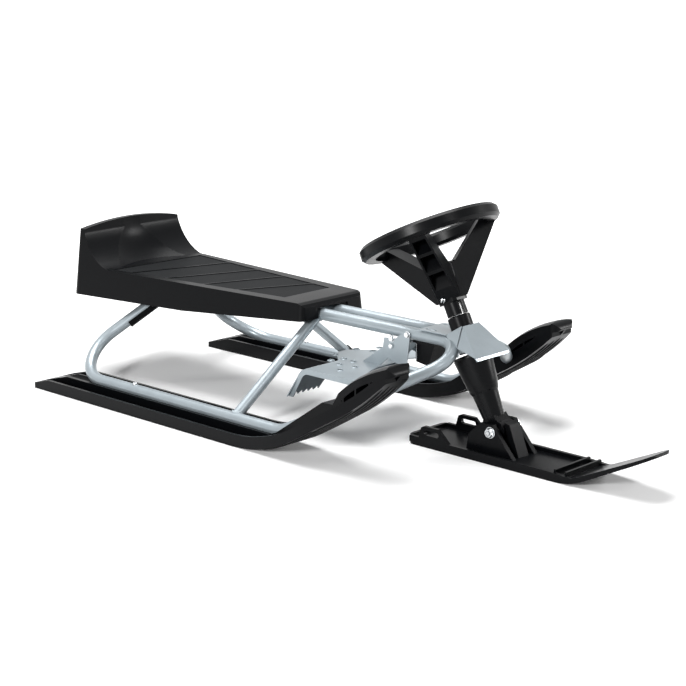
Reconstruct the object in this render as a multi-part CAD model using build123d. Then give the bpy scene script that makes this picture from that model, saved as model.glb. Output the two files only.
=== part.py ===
from build123d import *
import math
import os

os.makedirs("parts", exist_ok=True)

# A child's steerable snow sled, in millimetres: a bent-tube steel frame on two moulded runner skis,
# a moulded seat shell, and a third ski in front that turns with the steering wheel.
# X runs forward, Y to the rider's left, Z up, and all three skis stand on z = 0.
# Pieces of the right side are drawn first, at negative Y, and mirrored to the left.

# Steel tube frame
TUBE_OD = 20.0
TUBE_WALL = 1.5
OPEN_END = 25.0
RAIL_Y = 20.5
RAIL_Z = 170.0
RAIL_REAR_X = -537.0
NOSE_X = 281.0
NOSE_BEND = 47.0
RUNNER_Y = 205.0
RUNNER_Z = 28.0
HEEL_X = -524.0
HEEL_BEND = 72.0
REAR_LEG_X = -419.0
CLIMB_X = 30.0
CLIMB_BEND = 70.0
TOE_BEND = 40.0
CROSS_SLOPE = (-0.712, -0.455)
JOINT_Y = 176.0
LEG_OD = 18.0
LEG_TOP_X = {"right": -68.0, "left": -194.0}
LEG_FOOT_X = {"right": -77.0, "left": -201.0}
WELD_GAP = 0.3

# Steering axis, leaning back from the ground point
RAKE = 26.5
AXIS_FOOT_X = 315.5
HEAD_OD = 37.0
HEAD_LOW = 154.0
HEAD_HIGH = 206.0
SHAFT_OD = 12.0
SHAFT_LOW = 62.0
SHAFT_HIGH = 262.0
FIT = 0.1
BEARING_GAP = 0.3

# Sheet steel of the head, the bracket and the brake
SHEET = 2.0
PLATE_X = (158.0, 214.0)
PLATE_HALF = 30.0
WELD_SLOT = (176.0, 21.0, 5.0)
HOOD_TOP = (238.0, 19.0, 197.0)
HOOD_REAR = (243.0, 38.0, 166.0)
HOOD_LOW = (281.0, 40.0, 157.0)
BRACKET_OUTLINE = ((87, 157), (111, 159), (127, 171), (134, 174), (142, 169), (135, 114), (83, 128))
PIVOT_X = 104.0
PIVOT_Z = 146.0
PIVOT_OD = 8.0
PIVOT_HEAD = 4.0
ARM_Y = 24.0
ARM_EYE_R = 9.0
ARM_FOOT_X = (34.0, 72.0)
PEDAL_Z = 108.0
PEDAL_FRONT_X = 111.0
PEDAL_BEND_X = -6.0
PEDAL_BEND_R = 24.0
PEDAL_OUT_Y = 124.0
PEDAL_FLANGE = 9.0
STRAP_X = (-36.0, 74.0)
STRAP_Y = (12.0, 32.0)
TOOTH_X = -37.0
TOOTH_Z = 56.0
TOOTH_Y = (57.0, 128.0)
BLADE_TOP_Y = 45.0
BLADE_TOP_Z = 92.0
TOOTH_COUNT = 6
TOOTH_DEPTH = 7.0

# Starter-rope reel box under the rails
REEL_OUTLINE = ((141, 157), (180, 157), (168, 121), (142, 125))
REEL_HALF = 18.0
REEL_FLANGE = 3.0

# Runner skis
SKI_HALF = 45.0
SKI_REAR_X = -550.0
SKI_HEEL_H = 8.0
SKI_RIM_X = -490.0
SKI_FLAT_X = -40.0
SKI_RISE = 30.0
SKI_RISE_BEND = 280.0
SKI_NOSE = ((180.0, 84.0), (226.0, 116.0), (264.0, 150.0))
SKI_FRONT = ((273.0, 162.0), (267.0, 170.5), (252.0, 172.3))
SKI_SIDE_X = (110.0, 150.0)
SKI_TIP_X = (250.0, 273.0)
SKI_TIP_Y = (-22.0, -16.0, 34.0)
SKI_FLOOR = 7.0
RIM_OUT_H = 20.0
RIM_IN_H = 24.0
RIM_T = 5.0
BEAD_Y = (-31.0, -28.0)
BEAD_H = 13.0
BED_Y = (-16.0, 13.0)
BEAM_HALF = 19.0
BEAM_TOP = ((38, 32), (137, 99), (159, 100), (172, 121))
SKI_NOSE_R = 18.0
SKI_HEEL_R = 8.0
REST_CENTRE = (310.6, -19.3)
REST_R = 200.0
REST_ANGLE = (133.8, 100.0)
REST_Y = (-26.0, 42.0)
REST_T = 17.0
REST_CROWN = 6.0
TOE_RIB_X = (187.0, 212.0, 238.0)
TOE_RIB = 3.0
TOE_WEB_Y = 8.0
TOE_WEB = 4.0

# Seat shell
SEAT_REAR_X = -592.0
SEAT_FRONT_X = -52.0
SEAT_REAR_HALF = 124.0
SEAT_FRONT_HALF = 76.0
SEAT_DRAFT = 6.0
SEAT_CORNER_R = 14.0
SEAT_TOP_Z = 195.0
SEAT_BACK_Z = 262.0
SEAT_BACK_CROWN = 10.0
SEAT_BACK_X = (-581.0, -567.0)
SEAT_WING = ((-567.0, 256.0), (-547.0, 219.0), (-506.0, 195.0))
SEAT_SWEEP_X = -546.0
SEAT_SWEEP_R = 150.0
SKIRT_REAR_Z = 143.0
SKIRT_MID = (-322.0, 148.0)
SKIRT_FRONT_Z = 166.0
SEAT_WALL = 4.0
SEAT_MOUTH_HALF = 35.0
SEAT_MOUTH_Z = 183.0
SADDLE_X = (-472.0, -292.0, -132.0)
SADDLE_T = 8.0
SADDLE_OUT = 20.0
# Grip panels lie between these edges, each by its X on the right side and on the left
GRIP_EDGE_X = ((-114, -114), (-218, -160), (-294, -241), (-379, -316), (-459, -402), (-504, -494))
GRIP_HALF = 53.0
GRIP_SPREAD = 0.117
GRIP_WEB = 3.0
GRIP_DEPTH = 1.2

# Steering wheel
WHEEL_R = 113.0
WHEEL_BAND_T = 26.0
WHEEL_BAND_H = 22.0
WHEEL_CHAMFER = 5.0
WHEEL_Z = 327.0
HUB_LOW = 226.0
HUB_HIGH = 281.0
HUB_W = 44.0
HUB_TAPER = 4.0
HUB_CORNER_R = 8.0
SPOKE_HALF = (18.0, 13.0)
SPOKE_WALL = 3.0
SPOKE_TOP = 4.0
SPOKE_CELLS = ((0.10, 0.36), (0.41, 0.66), (0.71, 0.93))
COLUMN_OD = 33.0
COLUMN_SLOT = (6.4, 8.9)
COLUMN_GAP = 1.5

# Sleeve and front ski
SLEEVE = ((150.0, 29.0), (146.0, 30.5), (108.0, 25.0), (97.0, 22.5), (94.0, 20.5), (58.0, 17.0))
FRONT_HALF = (48.0, 37.0)
FRONT_REAR_X = 149.0
FRONT_FLAT_X = 440.0
FRONT_BEND = 109.0
FRONT_TIP = (592.0, 62.0)
FRONT_NOSE_R = 32.0
FRONT_T = 8.0
FRONT_TIP_T = 5.0
FRONT_RIM_H = 14.0
FRONT_RIM_T = 6.0
FRONT_RIB_X = (436.0, 456.0)
FRONT_RIB = 4.0
EAR_OUTLINE = ((172, 4), (180, 31), (186, 34), (214, 34), (236, 14), (240, 4))
TOW_SLOT = (201.0, 24.0, 30.0, 8.0)
TOWER_PIN = (304.0, 44.0)
TOWER_OUTLINE = ((256, 4), (261, 34), (284, 56), (307, 56), (319, 42), (336, 22), (352, 4))
BUTTRESS_OUTLINE = ((316, 58), (326, 56), (346, 6), (331, 6))
BUTTRESS_HALF = 12.0
TOWER_Y = 30.0
TOWER_WALL = 8.0
EYE_OD = 28.0
EYE_W = 30.0
PIN_OD = 10.0

lean = math.tan(math.radians(RAKE))
cos_rake = math.cos(math.radians(RAKE))
sin_rake = math.sin(math.radians(RAKE))


def axis_x(z):
    return AXIS_FOOT_X - lean * z


def save(name, shape):
    export_step(shape, f"parts/{name}.step")


def save_pair(name, shape):
    save(f"{name}_right", shape)
    save(f"{name}_left", mirror(shape, about=Plane.XZ))


def both_sides(shape):
    return shape + mirror(shape, about=Plane.XZ)


def bent_tube(points, radii, outer=TUBE_OD):
    # Straight runs joined by tangent bends, drawn full, as nothing shows of a welded tube's inside.
    ring = Circle(outer / 2)
    corners = [Vector(*point) for point in points]
    start, pieces = corners[0], []
    for i, radius in enumerate(radii, 1):
        before = (corners[i] - corners[i - 1]).normalized()
        after = (corners[i + 1] - corners[i]).normalized()
        turn = before.get_angle(after)
        reach = radius * math.tan(math.radians(turn / 2))
        bend_start = corners[i] - before * reach
        normal = before.cross(after).normalized()
        centre = bend_start + normal.cross(before) * radius
        pieces.append(Plane(origin=start, z_dir=before) * extrude(ring, (bend_start - start).length))
        pieces.append(revolve(Plane(origin=bend_start, z_dir=before) * ring, Axis(centre, normal), turn))
        start = corners[i] + after * reach
    last = corners[-1] - start
    pieces.append(Plane(origin=start, z_dir=last.normalized()) * extrude(ring, last.length))
    return pieces[0] + pieces[1:]


def rod(point_a, point_b, diameter):
    a, b = Vector(*point_a), Vector(*point_b)
    plane = Plane(origin=a, z_dir=(b - a).normalized())
    return plane * extrude(Circle(diameter / 2), (b - a).length)


def cross_rod(x, z, half, diameter):
    # A rod along Y, centred on the sled's middle.
    return rod((x, -half, z), (x, half, z), diameter)


def biggest(shape):
    return max(shape.solids(), key=lambda solid: solid.volume)


def on_axis(z):
    # A plane square to the steering axis, at the axis point of height z.
    return Plane(origin=(axis_x(z), 0, z), x_dir=(cos_rake, 0, sin_rake), z_dir=(-sin_rake, 0, cos_rake))


def along_axis(z_low, z_high, diameter):
    return on_axis(z_low) * extrude(Circle(diameter / 2), (z_high - z_low) / cos_rake)


def slab(x, y, z):
    # A box between two limits along each axis.
    return Pos((x[0] + x[1]) / 2, (y[0] + y[1]) / 2, (z[0] + z[1]) / 2) * Box(
        abs(x[1] - x[0]), abs(y[1] - y[0]), abs(z[1] - z[0]))


def side_plate(outline, y_low, y_high):
    # A closed outline in X and Z, as thick as the two Y limits.
    return Pos(0, y_high, 0) * extrude(Plane.XZ * make_face(outline), y_high - y_low)


def side_polygon(points, y_low, y_high):
    return side_plate(Polyline(*points, close=True), y_low, y_high)


def between(low, high, part):
    return low + (high - low) * part


# The rail on each side runs under the seat, turns outwards at the head and ends in the ski's toe.
def cross_point(y):
    reach = y - RAIL_Y
    return (NOSE_X + CROSS_SLOPE[0] * reach, -y, RAIL_Z + CROSS_SLOPE[1] * reach)


rail_path = [(RAIL_REAR_X, -RAIL_Y, RAIL_Z), (NOSE_X, -RAIL_Y, RAIL_Z), cross_point(JOINT_Y)]
rail_core = bent_tube(rail_path, [NOSE_BEND], outer=TUBE_OD + 2 * WELD_GAP)
rail = bent_tube(rail_path, [NOSE_BEND])
rail -= rod((RAIL_REAR_X - 1, -RAIL_Y, RAIL_Z), (RAIL_REAR_X + OPEN_END, -RAIL_Y, RAIL_Z),
            TUBE_OD - 2 * TUBE_WALL)
save_pair("main_rail", rail)

# The runner tube starts at the rail as the rear leg, lies in the ski and climbs to the toe.
rail_solid = rod((RAIL_REAR_X, -RAIL_Y, RAIL_Z), (NOSE_X - 2 * NOSE_BEND, -RAIL_Y, RAIL_Z),
                 TUBE_OD + 2 * WELD_GAP)
runner_path = [(REAR_LEG_X, -RAIL_Y, RAIL_Z), (HEEL_X, -RUNNER_Y, RUNNER_Z), (CLIMB_X, -RUNNER_Y, RUNNER_Z),
               cross_point(RUNNER_Y), cross_point(JOINT_Y)]
runner = bent_tube(runner_path, [HEEL_BEND, CLIMB_BEND, TOE_BEND])
save_pair("runner_tube", biggest(runner - rail_solid))

# Front legs, welded between the rail and the runner tube; the two do not stand in line.
runner_solid = rod((HEEL_X + 2 * HEEL_BEND, -RUNNER_Y, RUNNER_Z), (CLIMB_X, -RUNNER_Y, RUNNER_Z),
                   TUBE_OD + 2 * WELD_GAP)
for side in ("right", "left"):
    leg = rod((LEG_TOP_X[side], -RAIL_Y, RAIL_Z), (LEG_FOOT_X[side], -RUNNER_Y, RUNNER_Z), LEG_OD)
    leg = biggest(leg - rail_solid - runner_solid)
    save(f"front_leg_{side}", leg if side == "right" else mirror(leg, about=Plane.XZ))

# The head tube carries the steering shaft between the noses of the two rails.
head = along_axis(HEAD_LOW, HEAD_HIGH, HEAD_OD)
head -= along_axis(HEAD_LOW - 1, HEAD_HIGH + 1, SHAFT_OD + 2 * BEARING_GAP)
save("head_tube", head)

# Cross plate on top of the rails behind the head, with a weld slot over each rail.
plate_z = RAIL_Z + TUBE_OD / 2 + FIT
plate = slab(PLATE_X, (-PLATE_HALF, PLATE_HALF), (plate_z, plate_z + SHEET))
slot_x, slot_length, slot_width = WELD_SLOT
for y in (-RAIL_Y, RAIL_Y):
    plate -= Pos(slot_x, y, RAIL_Z) * extrude(SlotOverall(slot_length, slot_width), TUBE_OD)
plate -= along_axis(HEAD_LOW, HEAD_HIGH, HEAD_OD + 2 * WELD_GAP)
save("head_plate", biggest(plate))


# Folded hood in front of the head: a front facet and two side facets that end on the rails.
def hood_facet(*corners):
    # A flat sheet that has its outer face on the corners and its thickness towards the head.
    face = make_face(Polyline(*corners, close=True)).face()
    inward = face.normal_at()
    if inward.dot(Vector(HOOD_TOP[0], 0, HOOD_LOW[2]) - face.center()) < 0:
        inward = -inward
    return extrude(face, SHEET, dir=inward)


def across(point):
    return (point[0], -point[1], point[2])


side_facet = hood_facet(HOOD_TOP, HOOD_LOW, HOOD_REAR)
hood = hood_facet(HOOD_TOP, HOOD_LOW, across(HOOD_LOW), across(HOOD_TOP)) + both_sides(side_facet)
hood -= along_axis(HEAD_LOW, HEAD_HIGH, HEAD_OD + 2 * WELD_GAP)
hood -= rail_core
hood -= mirror(rail_core, about=Plane.XZ)
save("hood", biggest(hood))

# Bracket plates on the outer faces of the rails, which hold the brake's pivot.
bracket_y = RAIL_Y + TUBE_OD / 2 + FIT
bracket = side_polygon(BRACKET_OUTLINE, -bracket_y - SHEET, -bracket_y)
bracket -= cross_rod(PIVOT_X, PIVOT_Z, 2 * bracket_y, PIVOT_OD + 2 * FIT)
save_pair("brake_bracket", bracket)

# Brake: foot plates that bend down into toothed blades, joined by a strap and hung on a pivot pin.
save("brake_pin", cross_rod(PIVOT_X, PIVOT_Z, bracket_y + SHEET + PIVOT_HEAD, PIVOT_OD))


def brake_profile(depth):
    # The plate's side view, as deep as given below its upper face.
    drop_x, drop_z = TOOTH_X - PEDAL_BEND_X, TOOTH_Z - PEDAL_Z
    turn = math.atan2(-drop_z, -drop_x)
    corner = (PEDAL_BEND_X + depth * math.tan(turn / 2), PEDAL_Z - depth)
    front_x = PEDAL_FRONT_X + TOOTH_DEPTH
    upper = FilletPolyline((front_x, PEDAL_Z), (PEDAL_BEND_X, PEDAL_Z), (TOOTH_X, TOOTH_Z),
                           radius=PEDAL_BEND_R)
    foot = (TOOTH_X + depth / math.sin(turn), TOOTH_Z)
    lower = FilletPolyline((front_x, PEDAL_Z - depth), corner, foot, radius=PEDAL_BEND_R - depth)
    ends = [Line((TOOTH_X, TOOTH_Z), foot), Line((front_x, PEDAL_Z), (front_x, PEDAL_Z - depth))]
    return Curve() + [upper, lower] + ends


def brake_side():
    tooth_in, tooth_out = TOOTH_Y
    pitch = (tooth_out - tooth_in) / TOOTH_COUNT
    teeth = []
    for k in range(TOOTH_COUNT):
        teeth += [(-tooth_out + k * pitch, TOOTH_Z), (-tooth_out + (k + 0.6) * pitch, TOOTH_Z + TOOTH_DEPTH)]
    rear_view = make_face(Polyline(
        (-BLADE_TOP_Y, PEDAL_Z + 5), (-PEDAL_OUT_Y, PEDAL_Z + 5), (-PEDAL_OUT_Y, BLADE_TOP_Z), *teeth,
        (-tooth_in, TOOTH_Z), (-BLADE_TOP_Y, BLADE_TOP_Z), close=True))
    rear_view = extrude(Plane.YZ.offset(TOOTH_X - 5) * rear_view, PEDAL_FRONT_X - TOOTH_X + 10)
    front_run = (PEDAL_FRONT_X - STRAP_X[1]) / (PEDAL_OUT_Y - STRAP_Y[1])
    plan = make_face(Polyline(
        (TOOTH_X - 5, -tooth_out - 5),
        (PEDAL_FRONT_X + front_run * (tooth_out + 5 - PEDAL_OUT_Y), -tooth_out - 5),
        (STRAP_X[1], -STRAP_Y[1]), (STRAP_X[1], 0), (TOOTH_X - 5, 0), close=True))
    plan = extrude(plan, PEDAL_Z + 5)
    sheet = side_plate(brake_profile(SHEET), -tooth_out - 5, -STRAP_Y[0]) & rear_view
    flange = side_plate(brake_profile(PEDAL_FLANGE), -PEDAL_OUT_Y, -PEDAL_OUT_Y + SHEET)
    return (sheet + flange) & plan


strap_in, strap_out = STRAP_Y
strap = make_face(Polyline(
    (STRAP_X[0], 0), (STRAP_X[0], -strap_in), (PEDAL_BEND_X + 4, -BLADE_TOP_Y),
    (STRAP_X[1] + 5, -BLADE_TOP_Y),
    (STRAP_X[1], -strap_out), (STRAP_X[1], 0), close=True))
strap = extrude(Plane.XY.offset(PEDAL_Z - SHEET) * strap, SHEET)
arm_foot_z = PEDAL_Z - SHEET / 2
arm = side_polygon([(ARM_FOOT_X[0], arm_foot_z), (ARM_FOOT_X[1], arm_foot_z),
                    (PIVOT_X + ARM_EYE_R, PIVOT_Z - 2), (PIVOT_X - 4, PIVOT_Z + ARM_EYE_R - 1)],
                   -ARM_Y - SHEET, -ARM_Y)
arm += rod((PIVOT_X, -ARM_Y, PIVOT_Z), (PIVOT_X, -ARM_Y - SHEET, PIVOT_Z), 2 * ARM_EYE_R)
arm -= cross_rod(PIVOT_X, PIVOT_Z, 2 * ARM_Y, PIVOT_OD + 2 * FIT)
save("brake", both_sides(brake_side() + strap + arm))

# Rope reel box, hung under the rails by its flange.
flange_z = RAIL_Z - TUBE_OD / 2 - WELD_GAP
reel = side_polygon(REEL_OUTLINE, -REEL_HALF, REEL_HALF)
reel += slab((REEL_OUTLINE[0][0], REEL_OUTLINE[1][0]), (-RAIL_Y - 4, RAIL_Y + 4),
             (flange_z - REEL_FLANGE, flange_z))
save("reel_box", reel)


# Runner ski: a thin upswept sole with rims along its edge, a bed and a beam for the tube,
# and a crowned foot rest on ribs over the toe.
def sole_line(lift=0.0):
    rise = math.radians(SKI_RISE)
    bend = []
    for part in (0, 0.5, 1):
        bend.append((SKI_FLAT_X + SKI_RISE_BEND * math.sin(rise * part),
                     lift + SKI_RISE_BEND * (1 - math.cos(rise * part))))
    nose = [(x, z + lift) for x, z in SKI_NOSE]
    return [Line((SKI_REAR_X, lift), bend[0]), ThreePointArc(*bend), Line(bend[2], nose[0]),
            ThreePointArc(*nose)]


def ski_band(height, y_low, y_high):
    # The sole's line lifted by a height, with everything below it.
    tip_x, tip_z = SKI_NOSE[2]
    top = sole_line(height)
    box = [Line((tip_x, tip_z + height), (tip_x, -1)), Line((tip_x, -1), (SKI_REAR_X, -1)),
           Line((SKI_REAR_X, -1), (SKI_REAR_X, height))]
    return side_plate(Curve() + top + box, y_low, y_high)


def ski_plan(inset=0.0):
    outline = Polyline(
        (SKI_REAR_X, -SKI_HALF), (SKI_SIDE_X[0], -SKI_HALF), (SKI_TIP_X[0], SKI_TIP_Y[0]),
        (SKI_TIP_X[1], SKI_TIP_Y[1]), (SKI_TIP_X[1], SKI_TIP_Y[2]), (SKI_SIDE_X[1], SKI_HALF),
        (SKI_REAR_X, SKI_HALF), close=True)
    plan = make_face(outline)
    corners = plan.vertices().sort_by(Axis.X)
    plan = fillet(corners[-2:], SKI_NOSE_R)
    plan = fillet(plan.vertices().sort_by(Axis.X)[:2], SKI_HEEL_R)
    if inset:
        plan = offset(plan, -inset)
    return extrude(plan, 200)


def foot_rest():
    # A crowned strip carried along an arc round a line across the sled.
    x, z = REST_CENTRE
    y_low, y_high = REST_Y
    middle = (y_low + y_high) / 2
    section = make_face(Curve() + [
        ThreePointArc((REST_R - REST_CROWN, y_low), (REST_R, middle), (REST_R - REST_CROWN, y_high)),
        Polyline((REST_R - REST_CROWN, y_high), (REST_R - REST_T, y_high), (REST_R - REST_T, y_low),
                 (REST_R - REST_CROWN, y_low))])
    start, end = (math.radians(angle) for angle in REST_ANGLE)
    plane = Plane(origin=(x, 0, z), x_dir=(math.cos(start), 0, math.sin(start)),
                  z_dir=(-math.sin(start), 0, math.cos(start)))
    return revolve(plane * section, Axis((x, 0, z), (0, 1, 0)), math.degrees(start - end))


def runner_ski():
    rear_slope = [(SKI_REAR_X - 1, -1), (SKI_REAR_X - 1, SKI_HEEL_H), (SKI_RIM_X, RIM_IN_H), (SKI_RIM_X, 300),
                  (400, 300), (400, -1)]
    frame = ski_plan() - ski_plan(RIM_T)
    block = ski_band(SKI_FLOOR, -SKI_HALF, SKI_HALF)
    block += ski_band(RIM_OUT_H, -SKI_HALF, 0) & frame
    block += ski_band(RIM_IN_H, 0, SKI_HALF) & frame
    block += ski_band(BEAD_H, *BEAD_Y)
    block += ski_band(RIM_IN_H, *BED_Y) & slab((SKI_REAR_X, CLIMB_X), BED_Y, (0, RIM_IN_H))
    block += side_polygon([(SKI_FLAT_X, 1), *BEAM_TOP, (SKI_NOSE[0][0] + 6, SKI_NOSE[0][1] + 6),
                           (SKI_NOSE[0][0], 1)], -BEAM_HALF, BEAM_HALF)
    block += foot_rest()
    under_rest = rod((REST_CENTRE[0], -SKI_HALF, REST_CENTRE[1]), (REST_CENTRE[0], SKI_HALF, REST_CENTRE[1]),
                     2 * (REST_R - REST_T + 1))
    ribs = slab((BEAM_TOP[3][0], SKI_TIP_X[1]), (TOE_WEB_Y - TOE_WEB / 2, TOE_WEB_Y + TOE_WEB / 2), (50, 200))
    for x in TOE_RIB_X:
        ribs += slab((x - TOE_RIB / 2, x + TOE_RIB / 2), REST_Y, (50, 200))
    block += ribs & under_rest
    high = 2 * SKI_FRONT[2][1]
    above_sole = sole_line() + [
        Line(SKI_NOSE[2], SKI_FRONT[0]), ThreePointArc(*SKI_FRONT),
        Polyline(SKI_FRONT[2], (SKI_FRONT[2][0], high), (SKI_REAR_X, high), (SKI_REAR_X, 0))]
    block &= side_plate(Curve() + above_sole, -SKI_HALF, SKI_HALF)
    block &= side_polygon(rear_slope, -SKI_HALF, SKI_HALF)
    return Pos(0, -RUNNER_Y, 0) * (block & ski_plan())


channel = bent_tube([runner_path[1]] + runner_path[2:4] + [cross_point(RUNNER_Y - 2 * SKI_HALF)],
                    [CLIMB_BEND, TOE_BEND], outer=TUBE_OD + 2 * WELD_GAP)
heel = bent_tube(runner_path[:3], [HEEL_BEND], outer=TUBE_OD + 2 * WELD_GAP)
save_pair("runner_ski", biggest(runner_ski() - channel - heel))


# Seat shell: a tapered moulding, open below, with a hollowed back and ribs that sit on the rails.
def seat_form(inset, drop):
    rear, front = SEAT_REAR_X + inset, SEAT_FRONT_X - inset
    plan = make_face(Polyline((rear, -SEAT_REAR_HALF + inset), (front, -SEAT_FRONT_HALF + inset),
                              (front, SEAT_FRONT_HALF - inset), (rear, SEAT_REAR_HALF - inset), close=True))
    plan = fillet(plan.vertices(), SEAT_CORNER_R - inset)
    block = extrude(Plane.XY.offset(SKIRT_REAR_Z) * plan, SEAT_BACK_Z + 40 - SKIRT_REAR_Z, taper=SEAT_DRAFT)
    if drop:
        block += extrude(Plane.XY.offset(SKIRT_REAR_Z) * plan, -drop)
    back_z, crown_z, seat_z = (z - inset for z in (SEAT_BACK_Z, SEAT_BACK_Z + SEAT_BACK_CROWN, SEAT_TOP_Z))
    back_x = SEAT_BACK_X[0] + inset
    wing = [(x - inset, z - inset) for x, z in SEAT_WING]
    outline = Curve() + [
        Polyline((rear, SKIRT_REAR_Z - drop), (back_x, crown_z + 20), (wing[0][0], crown_z + 20), wing[0]),
        ThreePointArc(*wing),
        Polyline(wing[2], (front - 16, seat_z), (front - 8, seat_z - 3), (front - 3, seat_z - 10),
                 (front, SKIRT_FRONT_Z - drop), (SKIRT_MID[0], SKIRT_MID[1] - drop),
                 (rear, SKIRT_REAR_Z - drop))]
    block &= side_plate(outline, -SEAT_REAR_HALF, SEAT_REAR_HALF)
    crown = Curve() + [
        ThreePointArc((-SEAT_REAR_HALF, back_z - 4), (0, crown_z), (SEAT_REAR_HALF, back_z - 4)),
        Polyline((SEAT_REAR_HALF, back_z - 4), (SEAT_REAR_HALF, 0), (-SEAT_REAR_HALF, 0),
                 (-SEAT_REAR_HALF, back_z - 4))]
    block &= extrude(Plane.YZ.offset(SEAT_REAR_X - 1) * make_face(crown), SEAT_FRONT_X - SEAT_REAR_X + 2)
    # The space in front of the back is round in plan and sweeps forward to the seat's top.
    axis = SEAT_SWEEP_X + SEAT_SWEEP_R
    foot_r, top_r = SEAT_SWEEP_R + inset, axis - SEAT_BACK_X[1] + inset
    sweep = Curve() + [
        Line((0, seat_z), (foot_r - 14, seat_z)),
        ThreePointArc((foot_r - 14, seat_z), (foot_r + 2, seat_z + 14), (top_r, crown_z + 4)),
        Polyline((top_r, crown_z + 4), (0, crown_z + 4), (0, seat_z))]
    hollow = Pos(axis, 0, 0) * revolve(Plane.XZ * make_face(sweep), Axis.Z)
    hollow += slab((axis, SEAT_FRONT_X + 1), (-SEAT_REAR_HALF, SEAT_REAR_HALF), (seat_z, crown_z + 4))
    hollow += slab((axis - SEAT_SWEEP_R / 2, axis), (-SEAT_REAR_HALF, SEAT_REAR_HALF), (seat_z, crown_z + 4))
    return block - hollow


def grip_point(x, side):
    half = GRIP_HALF + GRIP_SPREAD * (GRIP_EDGE_X[0][0] - x)
    return (x, side * half)


seat = seat_form(0, 0) - seat_form(SEAT_WALL, 30)
seat -= slab((SEAT_FRONT_X - 60, SEAT_FRONT_X + 5), (-SEAT_MOUTH_HALF, SEAT_MOUTH_HALF), (100, SEAT_MOUTH_Z))
for front_edge, rear_edge in zip(GRIP_EDGE_X, GRIP_EDGE_X[1:]):
    half_web = GRIP_WEB / 2
    panel = make_face(Polyline(
        grip_point(front_edge[0] - half_web, -1), grip_point(front_edge[1] - half_web, 1),
        grip_point(rear_edge[1] + half_web, 1), grip_point(rear_edge[0] + half_web, -1), close=True))
    seat -= extrude(Plane.XY.offset(SEAT_TOP_Z - GRIP_DEPTH) * panel, 2 * GRIP_DEPTH)
for x in SADDLE_X:
    rib = slab((x - SADDLE_T / 2, x + SADDLE_T / 2), (-RAIL_Y - SADDLE_OUT, RAIL_Y + SADDLE_OUT),
               (RAIL_Z, SEAT_TOP_Z - SEAT_WALL / 2))
    for y in (-RAIL_Y, RAIL_Y):
        rib -= rod((x - SADDLE_T, y, RAIL_Z), (x + SADDLE_T, y, RAIL_Z), TUBE_OD + 2 * FIT)
    seat += rib
save("seat", biggest(seat))

# Steering shaft through the head tube, with the wheel's socket above it and the sleeve below.
save("steering_shaft", along_axis(SHAFT_LOW, SHAFT_HIGH, SHAFT_OD))
bore = along_axis(SHAFT_LOW - FIT, SHAFT_HIGH + FIT, SHAFT_OD + 2 * FIT)
column_low = HEAD_HIGH + COLUMN_GAP
column = along_axis(column_low, HUB_LOW, COLUMN_OD) - bore
slot_plane = on_axis(column_low - 3) * Rot(0, 0, 45)
slot_in, slot_out = COLUMN_SLOT
slot = Pos((slot_in + slot_out) / 2, 0) * Rectangle(slot_out - slot_in, 2 * COLUMN_OD)
column -= slot_plane * extrude(slot, (HUB_LOW - column_low) / cos_rake)
save("steering_column", column)

# Wheel: a flat band ring on three slanting spokes, hollow below, and a boxy hub.
half_h = WHEEL_BAND_H / 2
section = Rectangle(WHEEL_BAND_T, WHEEL_BAND_H)
section = chamfer(section.vertices(), WHEEL_CHAMFER)
ring = revolve(Plane.XZ * Pos(WHEEL_R - WHEEL_BAND_T / 2, 0) * section, Axis.Z)
hub_low_h = (HUB_LOW - WHEEL_Z) / cos_rake
hub_high_h = (HUB_HIGH - WHEEL_Z) / cos_rake
hub = loft([Plane.XY.offset(height) * RectangleRounded(width, width, HUB_CORNER_R)
            for height, width in ((hub_low_h, HUB_W - 2 * HUB_TAPER), (hub_high_h, HUB_W))])


def spoke():
    top_in, top_out = (HUB_W / 2 - 4, hub_high_h - 2), (WHEEL_R - WHEEL_BAND_T + 2, half_h - 5)
    low_in, low_out = (HUB_W / 2 - 2, hub_low_h + 4), (WHEEL_R - 8, -half_h + 1)
    blade = side_polygon([low_out, top_out, top_in, (8, hub_high_h - 6), (8, hub_low_h + 4), low_in],
                         -SPOKE_HALF[0], SPOKE_HALF[0])

    def wedge(inset):
        near, far = SPOKE_HALF[0] - inset, SPOKE_HALF[1] - inset
        fan = make_face(Polyline((0, -near), (WHEEL_R, -far), (WHEEL_R, far), (0, near), close=True))
        return extrude(fan, 2 * WHEEL_R, both=True)

    cells = None
    for part_in, part_out in SPOKE_CELLS:
        outline = []
        for part in (part_in, part_out):
            outline.append((between(top_in[0], top_out[0], part) + SPOKE_TOP * 0.5,
                            between(top_in[1], top_out[1], part) - SPOKE_TOP))
        for part in (part_out, part_in):
            outline.append((between(low_in[0], low_out[0], part) + 12,
                            between(low_in[1], low_out[1], part) - 14))
        cell = side_polygon(outline, -HUB_W, HUB_W)
        cells = cell if cells is None else cells + cell
    return (blade & wedge(0)) - (cells & wedge(SPOKE_WALL))


arm_spoke = spoke()
wheel = ring + hub
for turn in (60, 180, 300):
    wheel += Rot(0, 0, turn) * arm_spoke
wheel = on_axis(WHEEL_Z) * wheel - bore
save("steering_wheel", biggest(wheel))

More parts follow.
